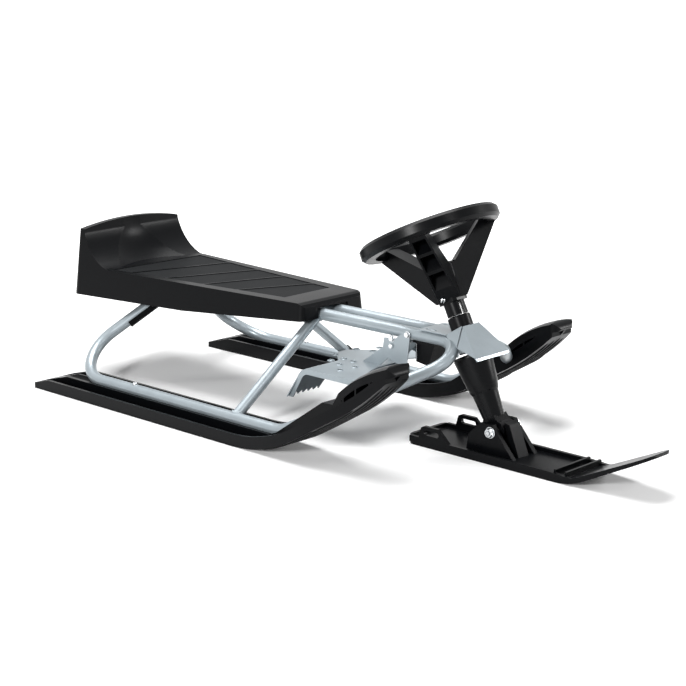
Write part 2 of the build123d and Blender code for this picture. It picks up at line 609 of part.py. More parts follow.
# Sleeve: a stepped cone round the shaft that ends in an eye on the ski's pin.
end_z, end_r = SLEEVE[-1]
cone = [(radius, (z - end_z) / cos_rake) for z, radius in SLEEVE]
outline = [(0, cone[0][1])] + cone + [(0, 0)]
sleeve = on_axis(end_z) * revolve(Plane.XZ * make_face(Polyline(*outline, close=True)), Axis.Z)
pin_x, pin_z = TOWER_PIN
end_x = axis_x(end_z)
eye_r = EYE_OD / 2
lug = side_polygon([(end_x - end_r + 6, end_z - 4), (end_x + end_r - 6, end_z + 9), (pin_x + eye_r, pin_z),
                    (pin_x, pin_z - eye_r), (pin_x - eye_r, pin_z - 3)], -EYE_W / 2, EYE_W / 2)
sleeve = sleeve + lug + cross_rod(pin_x, pin_z, EYE_W / 2, EYE_OD) - bore
sleeve -= cross_rod(pin_x, pin_z, TOWER_Y, PIN_OD + 2 * FIT)
save("sleeve", biggest(sleeve))
save("ski_pin", cross_rod(pin_x, pin_z, TOWER_Y + 4, PIN_OD))


# Front ski: a thin upswept runner with rims, cross ribs, a tower for the pin and slotted ears behind.
def front_ski():
    tip_x, tip_z = FRONT_TIP
    rise = 2 * math.atan2(tip_z, tip_x - FRONT_FLAT_X)
    for _ in range(20):
        end_x = FRONT_FLAT_X + FRONT_BEND * math.sin(rise)
        end_z = FRONT_BEND * (1 - math.cos(rise))
        rise = math.atan2(tip_z - end_z, tip_x - end_x)

    def arc_point(angle, radius):
        return (FRONT_FLAT_X + radius * math.sin(angle), FRONT_BEND - radius * math.cos(angle))

    inner = FRONT_BEND - FRONT_T
    lip_x = FRONT_REAR_X + FRONT_RIM_T
    top_tip = (tip_x - FRONT_TIP_T * math.sin(rise), tip_z + FRONT_TIP_T * math.cos(rise))
    outline = Curve() + [
        Line((FRONT_REAR_X, 0), (FRONT_FLAT_X, 0)),
        ThreePointArc((FRONT_FLAT_X, 0), arc_point(rise / 2, FRONT_BEND), arc_point(rise, FRONT_BEND)),
        Polyline(arc_point(rise, FRONT_BEND), (tip_x, tip_z), top_tip, arc_point(rise, inner)),
        ThreePointArc(arc_point(rise, inner), arc_point(rise / 2, inner), arc_point(0, inner)),
        Polyline(arc_point(0, inner), (lip_x, FRONT_T), (lip_x, FRONT_RIM_H), (FRONT_REAR_X, FRONT_RIM_H),
                 (FRONT_REAR_X, 0)),
    ]
    blade = side_plate(outline, -FRONT_HALF[0], FRONT_HALF[0])
    wide, narrow = FRONT_HALF
    plan = make_face(Polyline((FRONT_REAR_X, -wide), (FRONT_FLAT_X, -wide), (tip_x, -narrow), (tip_x, narrow),
                              (FRONT_FLAT_X, wide), (FRONT_REAR_X, wide), close=True))
    plan = fillet(plan.vertices().sort_by(Axis.X)[-2:], FRONT_NOSE_R)
    plan = fillet(plan.vertices().sort_by(Axis.X)[:2], FRONT_NOSE_R / 2)
    return blade & extrude(plan, 200)


ski = front_ski()
edge_out = FRONT_HALF[0]
edge_in = edge_out - FRONT_RIM_T
slot_x, slot_z, slot_length, slot_height = TOW_SLOT
side = side_polygon([(FRONT_REAR_X + 7, 4), (FRONT_REAR_X + 7, FRONT_RIM_H), (FRONT_FLAT_X - 10, FRONT_RIM_H),
                     (FRONT_FLAT_X + 30, 12), (FRONT_FLAT_X + 6, 4)], -edge_out, -edge_in)
ear = side_polygon(EAR_OUTLINE, -edge_out, -edge_in)
ear -= Pos(slot_x, 0, slot_z) * extrude(Plane.XZ * SlotOverall(slot_length, slot_height), 2 * edge_out)
tower = side_polygon(TOWER_OUTLINE, -TOWER_Y, -TOWER_Y + TOWER_WALL)
ski += both_sides(side + ear) + both_sides(tower)
ski += side_polygon(BUTTRESS_OUTLINE, -BUTTRESS_HALF, BUTTRESS_HALF)
for x in FRONT_RIB_X:
    ski += slab((x - FRONT_RIB / 2, x + FRONT_RIB / 2), (-edge_in - 1, edge_in + 1), (4, FRONT_RIM_H + 4))
ski -= cross_rod(pin_x, pin_z, 2 * TOWER_Y, PIN_OD + 2 * FIT)
save("front_ski", biggest(ski))
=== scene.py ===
import bmesh
import bpy
import math
import numpy as np
from mathutils import Matrix, Vector


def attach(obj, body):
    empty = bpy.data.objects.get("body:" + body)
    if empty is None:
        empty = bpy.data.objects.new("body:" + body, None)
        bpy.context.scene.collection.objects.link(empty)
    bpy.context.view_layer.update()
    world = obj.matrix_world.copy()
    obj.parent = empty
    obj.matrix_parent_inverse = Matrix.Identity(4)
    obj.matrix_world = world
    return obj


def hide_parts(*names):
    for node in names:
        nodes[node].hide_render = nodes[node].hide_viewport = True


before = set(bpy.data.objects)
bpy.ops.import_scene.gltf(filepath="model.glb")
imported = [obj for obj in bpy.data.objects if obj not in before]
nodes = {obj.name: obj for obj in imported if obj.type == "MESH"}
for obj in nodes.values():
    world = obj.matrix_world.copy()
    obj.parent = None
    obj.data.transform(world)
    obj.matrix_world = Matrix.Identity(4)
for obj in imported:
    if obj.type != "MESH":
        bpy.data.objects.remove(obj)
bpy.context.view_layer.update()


# Camera
# The photograph is taken from the sled's front right, a little above the seat, with a long lens.
# The place is in metres in the frame's own axes, and the angles are in degrees.
CAMERA_PLACE = (1.9071, -2.0259, 0.8110)
CAMERA_AZIMUTH = 43.770
CAMERA_ELEVATION = 13.803
CAMERA_ROLL = -0.1415
SENSOR_MM = 36.0
LENS_MM = 92.11
FARTHEST_SEEN = 200

eye = bpy.data.cameras.new("photo camera")
eye.sensor_width = SENSOR_MM
eye.lens = LENS_MM
eye.clip_end = FARTHEST_SEEN
camera = bpy.data.objects.new("photo camera", eye)
bpy.context.scene.collection.objects.link(camera)
turned = (Matrix.Rotation(math.radians(CAMERA_AZIMUTH), 4, "Z")
          @ Matrix.Rotation(math.radians(90 - CAMERA_ELEVATION), 4, "X")
          @ Matrix.Rotation(math.radians(CAMERA_ROLL), 4, "Z"))
camera.matrix_world = Matrix.Translation(CAMERA_PLACE) @ turned
bpy.context.scene.camera = camera


# Studio
# A flat sheet of matt paper lies under the sled. The camera, and a mirror or glass, see it as white
# paper that glows further out, where a studio lights its backdrop apart. To the light that falls on
# shapes it is a grey sheet, so it lifts their undersides little. Near the sled it keeps the shadow.
SHEET_REACH = 30.0
SHEET_COLOUR = "#b8b8b8"
SHEET_SEEN = 1.0
# Strength of the glow under the sled, and the distances in metres between which it rises to white
GLOW_NEAR = 0.06
GLOW_FROM = 0.75
GLOW_TO = 2.1
SKY_FOR_SHAPES = 0.12
SKY_SEEN = 1.0
WHITE = (1, 1, 1, 1)


def linear(code):
    """Turns an sRGB hex code into the four linear values that a shader takes."""
    parts = [int(code[i:i + 2], 16) / 255 for i in (1, 3, 5)]
    return [c / 12.92 if c <= 0.04045 else ((c + 0.055) / 1.055) ** 2.4 for c in parts] + [1.0]


def add(tree, kind, settings=None, **inputs):
    """Adds one node to a tree. An input is a value, or the output socket that feeds it.
    An input's name has _ for a space, and __0 or __1 behind it where two sockets share a name."""
    made = tree.nodes.new(kind)
    for name, value in (settings or {}).items():
        setattr(made, name, value)
    for name, value in inputs.items():
        plain = name.split("__")[0]
        found = [s for s in made.inputs if s.enabled and s.name.replace(" ", "_") == plain]
        socket = found[int(name.split("__")[1])] if "__" in name else found[0]
        if isinstance(value, bpy.types.NodeSocket):
            tree.links.new(value, socket)
        else:
            socket.default_value = value
    return made


def new_material(name):
    """A material and its node tree, which is empty."""
    material = bpy.data.materials.new(name)
    material.use_nodes = True
    material.node_tree.nodes.clear()
    return material, material.node_tree


def seen_by_eye(tree):
    """One for what the camera, a mirror or glass sees, and nought for light that falls on shapes."""
    path = add(tree, "ShaderNodeLightPath").outputs
    seen = add(tree, "ShaderNodeMath", {"operation": "MAXIMUM"}, Value__0=path["Is Camera Ray"],
               Value__1=path["Is Transmission Ray"]).outputs[0]
    return add(tree, "ShaderNodeMath", {"operation": "MAXIMUM"}, Value__0=seen,
               Value__1=path["Is Glossy Ray"]).outputs[0]


def white_sheet():
    """Matt paper, and a glow that rises smoothly with the distance from the sled's middle."""
    material, tree = new_material("white studio sheet")
    seen = seen_by_eye(tree)
    white = add(tree, "ShaderNodeMapRange", Value=seen, To_Min=linear(SHEET_COLOUR)[0], To_Max=SHEET_SEEN)
    lit = add(tree, "ShaderNodeBsdfDiffuse", Color=white.outputs[0]).outputs[0]
    place = add(tree, "ShaderNodeTexCoord").outputs["Object"]
    away = add(tree, "ShaderNodeVectorMath", {"operation": "LENGTH"}, Vector=place).outputs["Value"]
    lift = add(tree, "ShaderNodeMapRange", {"interpolation_type": "SMOOTHSTEP"}, Value=away,
               From_Min=GLOW_FROM, From_Max=GLOW_TO, To_Min=GLOW_NEAR, To_Max=1.0).outputs[0]
    power = add(tree, "ShaderNodeMath", {"operation": "MULTIPLY"}, Value__0=seen, Value__1=lift)
    glow = add(tree, "ShaderNodeEmission", Color=WHITE, Strength=power.outputs[0]).outputs[0]
    both = add(tree, "ShaderNodeAddShader", Shader__0=lit, Shader__1=glow).outputs[0]
    add(tree, "ShaderNodeOutputMaterial", Surface=both)
    return material


sheet_mesh = bpy.data.meshes.new("studio sheet")
sheet_corners = [(x * SHEET_REACH, y * SHEET_REACH, 0) for x, y in ((-1, -1), (1, -1), (1, 1), (-1, 1))]
sheet_mesh.from_pydata(sheet_corners, [], [(0, 1, 2, 3)])
sheet = bpy.data.objects.new("studio sheet", sheet_mesh)
sheet.data.materials.append(white_sheet())
bpy.context.scene.collection.objects.link(sheet)

world = bpy.data.worlds.new("studio air")
bpy.context.scene.world = world
world.use_nodes = True
world.node_tree.nodes.clear()
strength = add(world.node_tree, "ShaderNodeMath", {"operation": "MULTIPLY_ADD"},
               Value__0=seen_by_eye(world.node_tree), Value__1=SKY_SEEN - SKY_FOR_SHAPES,
               Value__2=SKY_FOR_SHAPES).outputs[0]
air = add(world.node_tree, "ShaderNodeBackground", Color=WHITE, Strength=strength).outputs[0]
add(world.node_tree, "ShaderNodeOutputWorld", Surface=air)

# Each lamp is a square soft box: name, place, point it faces, width in metres, watts
LAMPS = (
    ("top soft box", (-0.6, 0.12, 2.2), (0.0, 0.0, 0.1), 1.7, 74),
    ("front soft box", (2.26, -0.45, 1.78), (0.1, 0.0, 0.3), 0.4, 6),
    ("side soft box", (0.59, -2.48, 0.96), (0.1, 0.0, 0.3), 0.4, 52),
    ("far side soft box", (1.38, 1.50, 0.76), (-0.4, 0.0, 0.2), 0.4, 20),
)
for name, place, target, width, watts in LAMPS:
    lamp = bpy.data.lights.new(name, "AREA")
    lamp.size = width
    lamp.energy = watts
    box = bpy.data.objects.new(name, lamp)
    aim = (Vector(target) - Vector(place)).to_track_quat("-Z", "Y")
    box.matrix_world = Matrix.Translation(place) @ aim.to_matrix().to_4x4()
    box.visible_camera = False
    bpy.context.scene.collection.objects.link(box)

bpy.context.scene.view_settings.view_transform = "Standard"


# Bent tubes of the frame
# Steel tube of 20 mm, bent, welded and powder coated in a silver grey with a fine metal flake.
# The coat is a satin film, so its edges are soft and its highlights long and a little blurred.
# The real grain is finer than 1.1 mm, and is drawn as coarse as that so that it shows.
FRAME_TUBES = ("main_rail_right", "main_rail_left", "runner_tube_right", "runner_tube_left",
               "front_leg_right", "front_leg_left")
TUBE_EDGE_MM = 0.4
COAT_COLOUR = "#a3adb2"
COAT_DULL = "#929ba1"
COAT_GRAIN_MM = 1.1
COAT_CLOUD_MM = 30.0
COAT_METALLIC = 0.4
COAT_ROUGH = (0.25, 0.37)
COAT_BUMP = 0.10
GRAIN_DEEP_M = 0.0002

# How a CAD node's mesh is finished: points this near are one, and faces this flat are one face.
# Edges sharper than the next angle are rounded, and wide faces lead in the shading.
ONE_POINT_M = 0.00002
ONE_FACE_DEG = 0.5
ROUNDED_DEG = 28
WIDE_FACE_LEAD = 60


def silver_coat():
    """Silver powder coat: slow clouds in its colour and gloss, and a fine grain in its height."""
    material, tree = new_material("silver powder coat")
    place = add(tree, "ShaderNodeTexCoord").outputs["Object"]
    grain = add(tree, "ShaderNodeTexNoise", Vector=place, Scale=1000 / COAT_GRAIN_MM, Detail=2.0)
    cloud = add(tree, "ShaderNodeTexNoise", Vector=place, Scale=1000 / COAT_CLOUD_MM, Detail=3.0)
    colour = add(tree, "ShaderNodeMix", {"data_type": "RGBA"}, Factor=cloud.outputs[0],
                 A=linear(COAT_DULL), B=linear(COAT_COLOUR))
    rough = add(tree, "ShaderNodeMapRange", Value=cloud.outputs[0], To_Min=COAT_ROUGH[0],
                To_Max=COAT_ROUGH[1])
    bump = add(tree, "ShaderNodeBump", Height=grain.outputs[0], Strength=COAT_BUMP, Distance=GRAIN_DEEP_M)
    skin = add(tree, "ShaderNodeBsdfPrincipled", Base_Color=colour.outputs["Result"],
               Metallic=COAT_METALLIC, Roughness=rough.outputs[0], Normal=bump.outputs[0])
    add(tree, "ShaderNodeOutputMaterial", Surface=skin.outputs[0])
    return material


def round_edges(piece, edge_mm, from_deg):
    """Rounds the edges that are sharper than an angle with two steps, and returns the modifier."""
    bevel = piece.modifiers.new("soft edges", "BEVEL")
    bevel.width = edge_mm / 1000
    bevel.segments = 2
    bevel.limit_method = "ANGLE"
    bevel.angle_limit = math.radians(from_deg)
    return bevel


def finish_node(name, material, edge_mm, body):
    """A merged copy of a CAD node with its sharp edges rounded, standing for the node."""
    mesh = nodes[name].data.copy()
    piece = bpy.data.objects.new(f"{name}_finished", mesh)
    bpy.context.scene.collection.objects.link(piece)
    mesh.materials.clear()
    mesh.materials.append(material)
    weld = piece.modifiers.new("weld", "WELD")
    weld.merge_threshold = ONE_POINT_M
    flat = piece.modifiers.new("flat faces", "DECIMATE")
    flat.decimate_type = "DISSOLVE"
    flat.angle_limit = math.radians(ONE_FACE_DEG)
    round_edges(piece, edge_mm, ROUNDED_DEG).use_clamp_overlap = True
    even = piece.modifiers.new("even shading", "WEIGHTED_NORMAL")
    even.weight = WIDE_FACE_LEAD
    mesh.shade_smooth()
    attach(piece, body)
    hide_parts(name)
    return piece


silver = silver_coat()
for name in FRAME_TUBES:
    finish_node(name, silver, TUBE_EDGE_MM, "frame")


# Weld beads
# Each leg is welded all round where it meets its pipe, and the rails are butt welded at the toes.
# A bead is a rippled ridge about 4 mm wide under the same coat. All sizes from here on are in mm.
SIDES = (("right", -1), ("left", 1))
# Y and Z of the line of the runner tube in its ski, and the radii of the tubes and the front legs
RUNNER = (205.0, 28.0)
TUBE_R = 10.0
LEG_R = 9.0
# Upper and lower end of a leg's line. The rear legs are mirrored, the front legs stand apart.
REAR_LEG = ((-419.0, 20.5, 170.0), (-524.0, 205.0, 28.0))
FRONT_LEGS = (((-68.0, -20.5, 170.0), (-77.0, -205.0, 28.0)),
              ((-194.0, 20.5, 170.0), (-201.0, 205.0, 28.0)))
# Where the cross run from the nose meets the runner tube, and which way it goes there
TOE_JOINT = (170.3, 176.0, 99.2)
CROSS_RUN = (-0.712, 1.0, -0.455)
TOE_WELD_SUNK = 0.6
BEAD_R = 2.0
BEAD_RIPPLES = 34
BEAD_SWELL = 0.13
BEAD_STEPS = 136
BEAD_SIDES = 10
SAME_POINT_M = 0.00001
SOFT_DEG = 60
UP = (0.0, 0.0, 1.0)
FORWARDS = (1.0, 0.0, 0.0)
NEARLY_UP = 0.9


def surface(name, points, material, body, around=False, ring=False, sharp_deg=35):
    """A piece from a grid of points in mm: a row may close on itself, and the last row meet the first."""
    rows, columns = points.shape[:2]
    i, j = np.meshgrid(np.arange(rows if ring else rows - 1),
                       np.arange(columns if around else columns - 1), indexing="ij")
    below, beside = (i + 1) % rows, (j + 1) % columns
    faces = np.stack([i * columns + j, i * columns + beside, below * columns + beside,
                      below * columns + j], -1)
    mesh = bpy.data.meshes.new(name)
    mesh.from_pydata((points.reshape(-1, 3) / 1000).tolist(), [], faces.reshape(-1, 4).tolist())
    merged = bmesh.new()
    merged.from_mesh(mesh)
    bmesh.ops.remove_doubles(merged, verts=merged.verts, dist=SAME_POINT_M)
    bmesh.ops.recalc_face_normals(merged, faces=merged.faces)
    merged.to_mesh(mesh)
    merged.free()
    mesh.shade_smooth()
    mesh.set_sharp_from_angle(angle=math.radians(sharp_deg))
    mesh.materials.append(material)
    piece = bpy.data.objects.new(name, mesh)
    bpy.context.scene.collection.objects.link(piece)
    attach(piece, body)
    return piece


def unit(vector):
    """A vector, or each of a list of them, divided by its own length."""
    vector = np.asarray(vector, float)
    return vector / np.linalg.norm(vector, axis=-1, keepdims=True)


def square_to(direction):
    """Two unit vectors that are square to a direction and to each other."""
    side = unit(np.cross(direction, UP if abs(direction[2]) < NEARLY_UP else FORWARDS))
    return side, np.cross(direction, side)


def spokes(direction, count):
    """Unit vectors square to a direction, spread evenly round it."""
    u, v = square_to(direction)
    t = np.linspace(0, 2 * np.pi, count, endpoint=False)[:, None]
    return u * np.cos(t) + v * np.sin(t)


def bead(name, line, outward):
    """A tube round a closed line: its radius swells with the sine of the way round, as ripples do."""
    run = unit(np.roll(line, -1, axis=0) - np.roll(line, 1, axis=0))
    other = np.cross(run, outward)
    way = np.linspace(0, 2 * np.pi, len(line), endpoint=False)
    radius = BEAD_R * (1 + BEAD_SWELL * np.sin(BEAD_RIPPLES * way))
    w = np.linspace(0, 2 * np.pi, BEAD_SIDES, endpoint=False)[None, :, None]
    points = (line[:, None] + radius[:, None, None]
              * (np.cos(w) * outward[:, None] + np.sin(w) * other[:, None]))
    return surface(name, points, silver, "frame", around=True, ring=True,
                   sharp_deg=SOFT_DEG)


def leg_bead(name, foot, other_end, leg_r, pipe_r):
    """Round the leg, the distance along it at which its skin is one pipe radius from the pipe's line."""
    d = unit(np.subtract(other_end, foot))
    out = spokes(d, BEAD_STEPS)
    o = leg_r * out
    a = d[1] ** 2 + d[2] ** 2
    b = o[:, 1] * d[1] + o[:, 2] * d[2]
    c = np.minimum(o[:, 1] ** 2 + o[:, 2] ** 2 - pipe_r ** 2, 0)
    s = (-b + np.sqrt(b * b - a * c)) / a
    return bead(name, np.asarray(foot) + s[:, None] * d + o, out)


for side, sign in SIDES:
    turn = np.array((1, sign, 1))
    leg_bead(f"rear_leg_weld_{side}", REAR_LEG[0] * turn, REAR_LEG[1] * turn, TUBE_R, TUBE_R)
    out = spokes(unit(np.array(CROSS_RUN) * turn), BEAD_STEPS)
    bead(f"toe_weld_{side}", np.array(TOE_JOINT) * turn + (TUBE_R - TOE_WELD_SUNK) * out, out)
for side, (top, foot) in zip(("right", "left"), FRONT_LEGS):
    leg_bead(f"front_leg_top_weld_{side}", top, foot, LEG_R, TUBE_R)
    leg_bead(f"front_leg_foot_weld_{side}", foot, top, LEG_R, TUBE_R)


# Head of the frame
# A plate across the rails, a folded hood and two gussets of 2 mm steel hold the tube of the steering.
# The tube's upper end is a black plastic bush, and weld metal fills the slot over each rail.
RAKE = math.radians(26.5)
AXIS_FOOT_X = 315.5
HEAD_R = 18.5
HEAD_BORE_R = 6.4
HEAD_Z = (154.0, 206.0)
BUSH_FROM_Z = 185.0
STEEL_THICK = 2.0
STEEL_EDGE_MM = 0.5
STEEL_ROUNDED_DEG = 40
# Middle of a slot on the plate, half the length and the width of its weld, and the weld's ripples
SLOT_PLACE = (176.0, 20.5, 180.2)
SLOT_HALF_LONG = 9.6
SLOT_HALF_WIDE = 2.3
SLOT_SWELL = 0.12
SLOT_RIPPLE = 2.2
DOME_ROWS = 9
DOME_COLUMNS = 64
GUSSET = ((212.0, 29.0, 181.0), (236.5, 20.5, 197.5), (242.0, 38.5, 167.0), (222.0, 33.0, 172.0))
# The corner of the hood's lower edge, the way its lip runs, and how far
HOOD_LOW = (281.0, 40.0, 157.0)
LIP_RUN = (0.45, 0.0, -0.9)
LIP_INWARD = (-0.9, 0, -0.45)
LIP_DEEP = 5.0
LIP_DRAWN_IN = 2

# Polyethylene is drawn with a grain of 0.9 mm, coarser than the real one so that it shows.
# Its gloss is worn in patches of about 55 mm.
PLASTIC_GRAIN_MM = 0.9
WEAR_PATCHES_PER_M = 18.0
WEAR_GLOSS = 0.06

for name in ("head_plate", "hood"):
    finish_node(name, silver, STEEL_EDGE_MM, "frame")

steer_up = np.array((-math.sin(RAKE), 0.0, math.cos(RAKE)))


def axis_point(z):
    """The point at a height on the raked line that the steering turns about."""
    return np.array((AXIS_FOOT_X - math.tan(RAKE) * z, 0.0, z))


def turned_grid(profile, origin, up, columns=72, flats=0):
    """A profile of radii and heights turned about a line. Where flats are wanted, a row's third
    number says how far it is a polygon and not a circle, from 0 to 1."""
    profile = np.array([tuple(row) + (0.0,) * (3 - len(row)) for row in profile], float)
    t = np.linspace(0, 2 * np.pi, columns, endpoint=False)
    shape = np.ones_like(t)
    if flats:
        step = 2 * np.pi / flats
        shape = 1 / np.cos(t % step - step / 2)
    radius = profile[:, :1] * (1 + profile[:, 2:3] * (shape[None] - 1))
    ring = spokes(up, columns)
    return np.asarray(origin) + radius[..., None] * ring + profile[:, 1][:, None, None] * np.asarray(up)


def moulded_black(name, colour, grain_mm, bump, rough, shine):
    """Black plastic: a dull skin whose fine grain spreads the lamps into wide dim sheens."""
    material, tree = new_material(name)
    place = add(tree, "ShaderNodeTexCoord").outputs["Object"]
    grain = add(tree, "ShaderNodeTexNoise", Vector=place, Scale=1000 / grain_mm, Detail=3.0)
    wear = add(tree, "ShaderNodeTexNoise", Vector=place, Scale=WEAR_PATCHES_PER_M, Detail=4.0)
    gloss = add(tree, "ShaderNodeMapRange", Value=wear.outputs[0], To_Min=rough - WEAR_GLOSS,
                To_Max=rough + WEAR_GLOSS)
    lift = add(tree, "ShaderNodeBump", Height=grain.outputs[0], Strength=bump, Distance=GRAIN_DEEP_M)
    skin = add(tree, "ShaderNodeBsdfPrincipled", Base_Color=linear(colour), Roughness=gloss.outputs[0],
               Specular_IOR_Level=shine, Normal=lift.outputs[0])
    add(tree, "ShaderNodeOutputMaterial", Surface=skin.outputs[0])
    return material


plastic = moulded_black("black moulded polyethylene", "#08090b", PLASTIC_GRAIN_MM, bump=0.25, rough=0.30,
                        shine=0.085)

# Both profiles start and end on the bore, and their outer edges are broken by 0.6 to 1.8 mm
head_high = (HEAD_Z[1] - HEAD_Z[0]) / math.cos(RAKE)
bush_from = (BUSH_FROM_Z - HEAD_Z[0]) / math.cos(RAKE)
tube_profile = [(HEAD_BORE_R, 0), (HEAD_R - 0.8, 0), (HEAD_R, 0.8), (HEAD_R, bush_from - 0.6),
                (HEAD_R - 0.6, bush_from), (HEAD_BORE_R, bush_from)]
bush_profile = [(HEAD_BORE_R, bush_from + 0.1), (HEAD_R - 1.5, bush_from + 0.1),
                (HEAD_R - 1.5, bush_from + 1.2), (HEAD_R - 0.3, bush_from + 1.2),
                (HEAD_R - 0.3, head_high - 1.5), (HEAD_R - 1.8, head_high), (HEAD_BORE_R, head_high)]
tube = surface("head_tube_steel", turned_grid(tube_profile, axis_point(HEAD_Z[0]), steer_up), silver,
               "frame", around=True, ring=True)
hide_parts("head_tube")
surface("head_bush", turned_grid(bush_profile, axis_point(HEAD_Z[0]), steer_up), plastic, "frame",
        around=True, ring=True)

# Each slot's weld is half an ellipsoid with ripples along it, closed below from its middle
for side, sign in SIDES:
    u = np.linspace(0, np.pi / 2, DOME_ROWS)[:, None]
    v = np.linspace(0, 2 * np.pi, DOME_COLUMNS, endpoint=False)[None]
    along = SLOT_HALF_LONG * np.cos(u) * np.cos(v)
    wide = SLOT_HALF_WIDE * np.cos(u) * np.sin(v)
    high = SLOT_HALF_WIDE * np.sin(u) * (1 + SLOT_SWELL * np.sin(SLOT_RIPPLE * along))
    foot = np.array(SLOT_PLACE) * (1, sign, 1)
    dome = foot + np.stack([along, wide, high], -1)
    dome = np.concatenate([np.broadcast_to(foot, (1, dome.shape[1], 3)), dome])
    surface(f"plate_weld_{side}", dome, silver, "frame", around=True, sharp_deg=SOFT_DEG)


def sheet_piece(name, corners, thickness, inward, material, body, edge_mm=STEEL_EDGE_MM):
    """A flat sheet: its outer corners, and the same corners moved inwards by its thickness."""
    outer = np.array(corners, float)
    inner = outer + unit(np.array(inward, float)) * thickness
    middle = (outer.mean(0), inner.mean(0))
    grid = np.stack([np.repeat(middle[0][None], len(outer), 0), outer, inner,
                     np.repeat(middle[1][None], len(outer), 0)])
    piece = surface(name, grid, material, body, around=True)
    round_edges(piece, edge_mm, STEEL_ROUNDED_DEG).harden_normals = True
    return piece


for side, sign in SIDES:
    corners = np.array(GUSSET) * (1, sign, 1)
    across = np.cross(corners[1] - corners[0], corners[3] - corners[0])
    inward = across if across[1] * sign < 0 else -across
    sheet_piece(f"head_gusset_{side}", corners, STEEL_THICK, inward, silver, "frame")

# The hood's lower edge is folded out into a narrow lip
left_low = np.array(HOOD_LOW)
right_low = left_low * (1, -1, 1)
lip_reach = LIP_DEEP * np.array(LIP_RUN)
lip = [right_low, left_low, left_low + lip_reach + (0, -LIP_DRAWN_IN, 0),
       right_low + lip_reach + (0, LIP_DRAWN_IN, 0)]
sheet_piece("hood_lip", lip, STEEL_THICK, LIP_INWARD, silver, "frame")


# Bolts
# Bolts, nuts and pins are turned steel with a bright clear zinc plate.
# Bracket bolts hold the brake's plates on the rails, and a short bolt fixes each runner tube in its ski.
# A profile's rows are a radius and a height, and then 1 where the row is a hexagon.
BRACKET_BOLTS = ((137.0, 169.5), (104.5, 158.0))
BRACKET_FACE = 32.6
RUNNER_BOLT_X = (-323.0,)
HEX_PROFILE = [(0, 0), (5.6, 0), (5.6, 0.7), (5.2, 1.0), (4.0, 1.0, 1), (4.0, 3.2, 1), (3.9, 3.9, 0.2),
               (0, 4.0)]
SMALL_PROFILE = [(0, -0.5), (4.4, -0.5), (4.4, 0.6), (3.2, 0.8, 1), (3.2, 3.4, 1), (2.9, 3.9, 0.3),
                 (0, 4.0)]
BOLT_COLUMNS = 48
HEXAGON = 6
TURNED_EDGE_MM = 0.5
ZINC_COLOUR = "#d3d6d8"
ZINC_ROUGH = (0.16, 0.30)
ZINC_PATCHES_PER_M = 260.0


def zinc_plate():
    """Bright zinc: a clear metal whose gloss changes in patches of about 4 mm, so it glints unevenly."""
    material, tree = new_material("bright zinc plate")
    place = add(tree, "ShaderNodeTexCoord").outputs["Object"]
    cloud = add(tree, "ShaderNodeTexNoise", Vector=place, Scale=ZINC_PATCHES_PER_M, Detail=2.0)
    rough = add(tree, "ShaderNodeMapRange", Value=cloud.outputs[0], To_Min=ZINC_ROUGH[0],
                To_Max=ZINC_ROUGH[1])
    skin = add(tree, "ShaderNodeBsdfPrincipled", Base_Color=linear(ZINC_COLOUR), Metallic=1.0,
               Roughness=rough.outputs[0])
    add(tree, "ShaderNodeOutputMaterial", Surface=skin.outputs[0])
    return material


zinc = zinc_plate()


def fastener(name, profile, place, up, body):
    """A zinc plated bolt or nut: its profile turned about a line, with six flats."""
    grid = turned_grid(profile, place, up, BOLT_COLUMNS, flats=HEXAGON)
    return surface(name, grid, zinc, body, around=True)


for side, sign in SIDES:
    outward = (0.0, float(sign), 0.0)
    for k, (x, z) in enumerate(BRACKET_BOLTS):
        fastener(f"bracket_bolt_{side}_{k}", HEX_PROFILE, (x, sign * BRACKET_FACE, z), outward, "frame")
    for k, x in enumerate(RUNNER_BOLT_X):
        place = (x, sign * RUNNER[0], RUNNER[1] + TUBE_R)
        fastener(f"runner_bolt_{side}_{k}", SMALL_PROFILE, place, UP, "frame")


# Foot brake
# Two toothed foot plates, pressed from one steel sheet and hung on a pin between the brackets.
# Punched collars give the shoes a grip. Each is a raised rim round a nearly black disc on the sheet, painted
# shade that stands for its hole.
PEDAL_Z = 108.0
COLLARS = ((-27, 25), (-5, 58), (23, 67), (2, 34), (26, 38), (52, 62), (48, 92))
COLLAR = [(6.4, -0.3), (6.0, 0.2), (5.4, 1.0), (5.0, 1.2), (4.6, 1.0), (4.4, -0.3)]
# A nearly black disc of painted shade that stands for the hole
SHADE_DISC = [(0, -0.3), (4.5, -0.3), (4.5, 0.1), (0, 0.1)]
COLLAR_COLUMNS = 28
BRAKE_EDGE_MM = 0.6
# A face whose normal goes down more than this counts as the underside, which is drawn with painted shade
FACES_DOWN = -0.3
# The painted shade on the brake's underside: its two colours, the size of its clouds, its metal and
# roughness
UNDERSIDE_SHADE_DARK = "#3a464e"
UNDERSIDE_SHADE_LIGHT = "#4d5b63"
UNDERSIDE_SHADE_CLOUD_MM = 25.0
UNDERSIDE_SHADE_METALLIC = 0.2
UNDERSIDE_SHADE_ROUGH = 0.5


